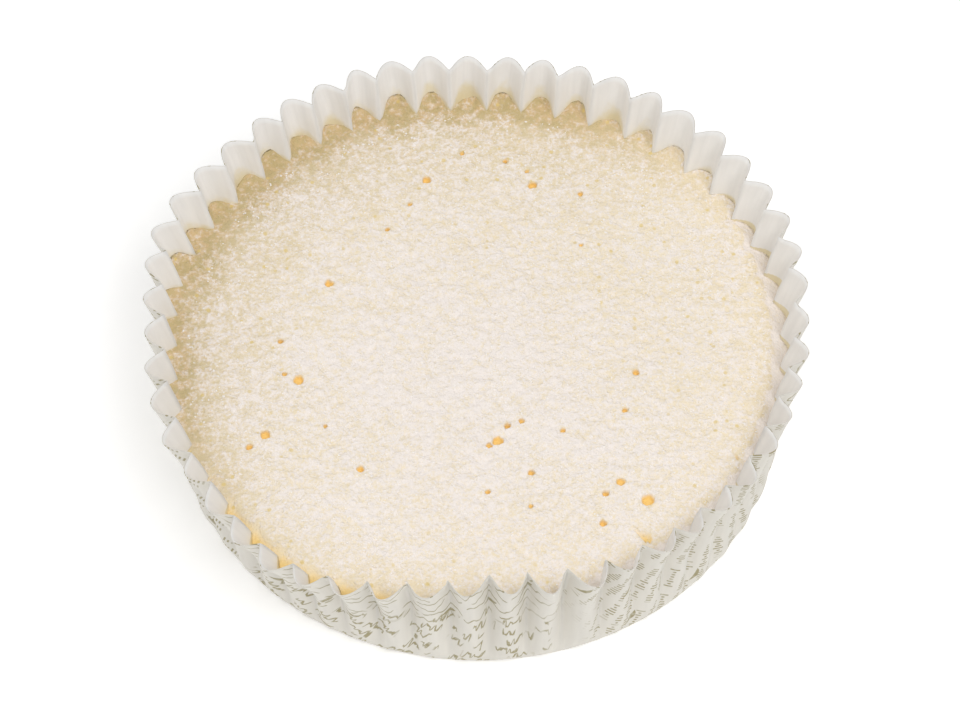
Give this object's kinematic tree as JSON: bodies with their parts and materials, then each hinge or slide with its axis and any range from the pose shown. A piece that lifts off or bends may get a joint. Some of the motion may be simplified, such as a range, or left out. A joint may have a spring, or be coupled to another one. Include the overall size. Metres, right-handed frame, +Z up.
{
  "type": "jiggly cheesecake",
  "caption": "Individual round baked cheesecake dusted with sugar, in its own fluted paper baking case.",
  "frame": {"origin": "middle of the paper case's underside, the face it stands on", "axes": "+Z up through the cake, +Y to the back, +X to the right; the wall leans out most at the front left"},
  "size_m": [0.0949, 0.0955, 0.0241],
  "materials": {
    "paper": "matt off-white baking paper with a faint wax sheen and a small olive print outside",
    "cake": "soft pale baked crumb under a clumped dusting of powdered sugar"
  },
  "bodies": {
    "root": {"paper_case": "paper", "cheesecake": "cake"}
  },
  "joints": []
}
